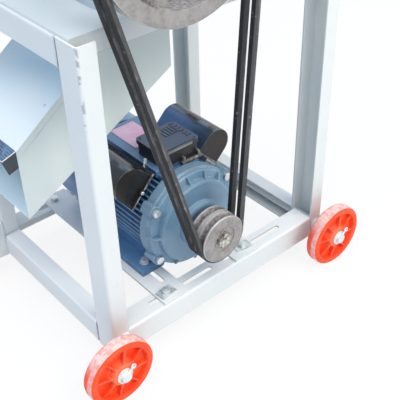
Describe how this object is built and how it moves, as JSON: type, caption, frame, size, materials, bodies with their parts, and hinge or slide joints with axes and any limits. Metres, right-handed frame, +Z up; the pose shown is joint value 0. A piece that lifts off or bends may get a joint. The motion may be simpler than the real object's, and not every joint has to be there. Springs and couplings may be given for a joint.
{
  "type": "electric grain mill",
  "caption": "Electric grain mill on a wheeled channel-steel frame: a finned motor drives the grinding head above through V-belts, with a feed hopper on top and a sheet chute below.",
  "frame": {"origin": "middle of the footprint, on the floor", "axes": "+X runs along the pulley side to the machine's right, +Y back from the pulleys along the motor, +Z up"},
  "size_m": [0.617, 0.471, 1.07],
  "materials": {
    "frame_paint": "pale grey paint",
    "sheet_paint": "pale grey paint on sheet",
    "motor_paint": "satin blue paint",
    "black_plastic": "glossy black",
    "wheel_red": "red moulded plastic",
    "belt_rubber": "worn black rubber",
    "zinc": "zinc plated",
    "machined": "turned steel",
    "pulley_iron": "turned cast iron",
    "housing_iron": "painted casting",
    "plate_metal": "pink plate"
  },
  "bodies": {
    "frame": {"axle_right": "zinc", "bearing_housing": "housing_iron", "belt_front": "belt_rubber", "belt_rear": "belt_rubber", "cable_clip": "zinc", "capacitor_left": "black_plastic", "capacitor_right": "black_plastic", "casing_door": "housing_iron", "chute": "sheet_paint", "deck_plate": "sheet_paint", "foot_bolts": "zinc", "hopper": "sheet_paint", "hopper_throat": "sheet_paint", "leg_front_left": "frame_paint", "leg_front_right": "frame_paint", "leg_rear_left": "frame_paint", "leg_rear_right": "frame_paint", "mill_casing": "housing_iron", "motor_body": "motor_paint", "motor_end_cover": "motor_paint", "motor_fan_cover": "motor_paint", "motor_strap_left": "frame_paint", "motor_strap_right": "frame_paint", "nameplate": "plate_metal", "rail_front": "frame_paint", "rail_left": "frame_paint", "rail_rear": "frame_paint", "rail_right": "frame_paint", "slide_gate": "sheet_paint", "strap_bolts": "zinc", "terminal_box": "black_plastic", "top_rail_front": "frame_paint", "top_rail_left": "frame_paint", "top_rail_rear": "frame_paint", "top_rail_right": "frame_paint", "wheel_bracket": "frame_paint", "wheel_bracket_front": "frame_paint"},
    "wheel_front_left": {"wheel_front_left": "wheel_red"},
    "wheel_front_right": {"wheel_front_right": "wheel_red"},
    "wheel_rear_right": {"wheel_rear_right": "wheel_red"},
    "wheel_rear_left": {"wheel_rear_left": "wheel_red"},
    "motor_rotor": {"motor_shaft": "machined", "motor_pulley": "pulley_iron"},
    "mill_rotor": {"mill_shaft": "machined", "driven_pulley": "pulley_iron"}
  },
  "joints": [
    {"name": "front_left_wheel_spin", "type": "hinge", "parent": "frame", "child": "wheel_front_left", "pos_m": [-0.2095, -0.211, 0.056], "axis": [0, 1, 0], "continuous": true},
    {"name": "front_right_wheel_spin", "type": "hinge", "parent": "frame", "child": "wheel_front_right", "pos_m": [0.2525, -0.214, 0.056], "axis": [0, 1, 0], "continuous": true},
    {"name": "rear_right_wheel_spin", "type": "hinge", "parent": "frame", "child": "wheel_rear_right", "pos_m": [0.2525, 0.214, 0.056], "axis": [0, 1, 0], "continuous": true},
    {"name": "rear_left_wheel_spin", "type": "hinge", "parent": "frame", "child": "wheel_rear_left", "pos_m": [-0.2525, 0.173, 0.056], "axis": [0, 1, 0], "continuous": true},
    {"name": "motor_spin", "type": "hinge", "parent": "frame", "child": "motor_rotor", "pos_m": [0.0095, -0.1795, 0.171], "axis": [0, 1, 0], "continuous": true},
    {"name": "mill_spin", "type": "hinge", "parent": "frame", "child": "mill_rotor", "pos_m": [-0.0405, -0.1795, 0.66], "axis": [0, 1, 0], "continuous": true}
  ],
  "couplings": [
    {"joint": "motor_spin", "follows": "mill_spin", "ratio": 3.125}
  ]
}
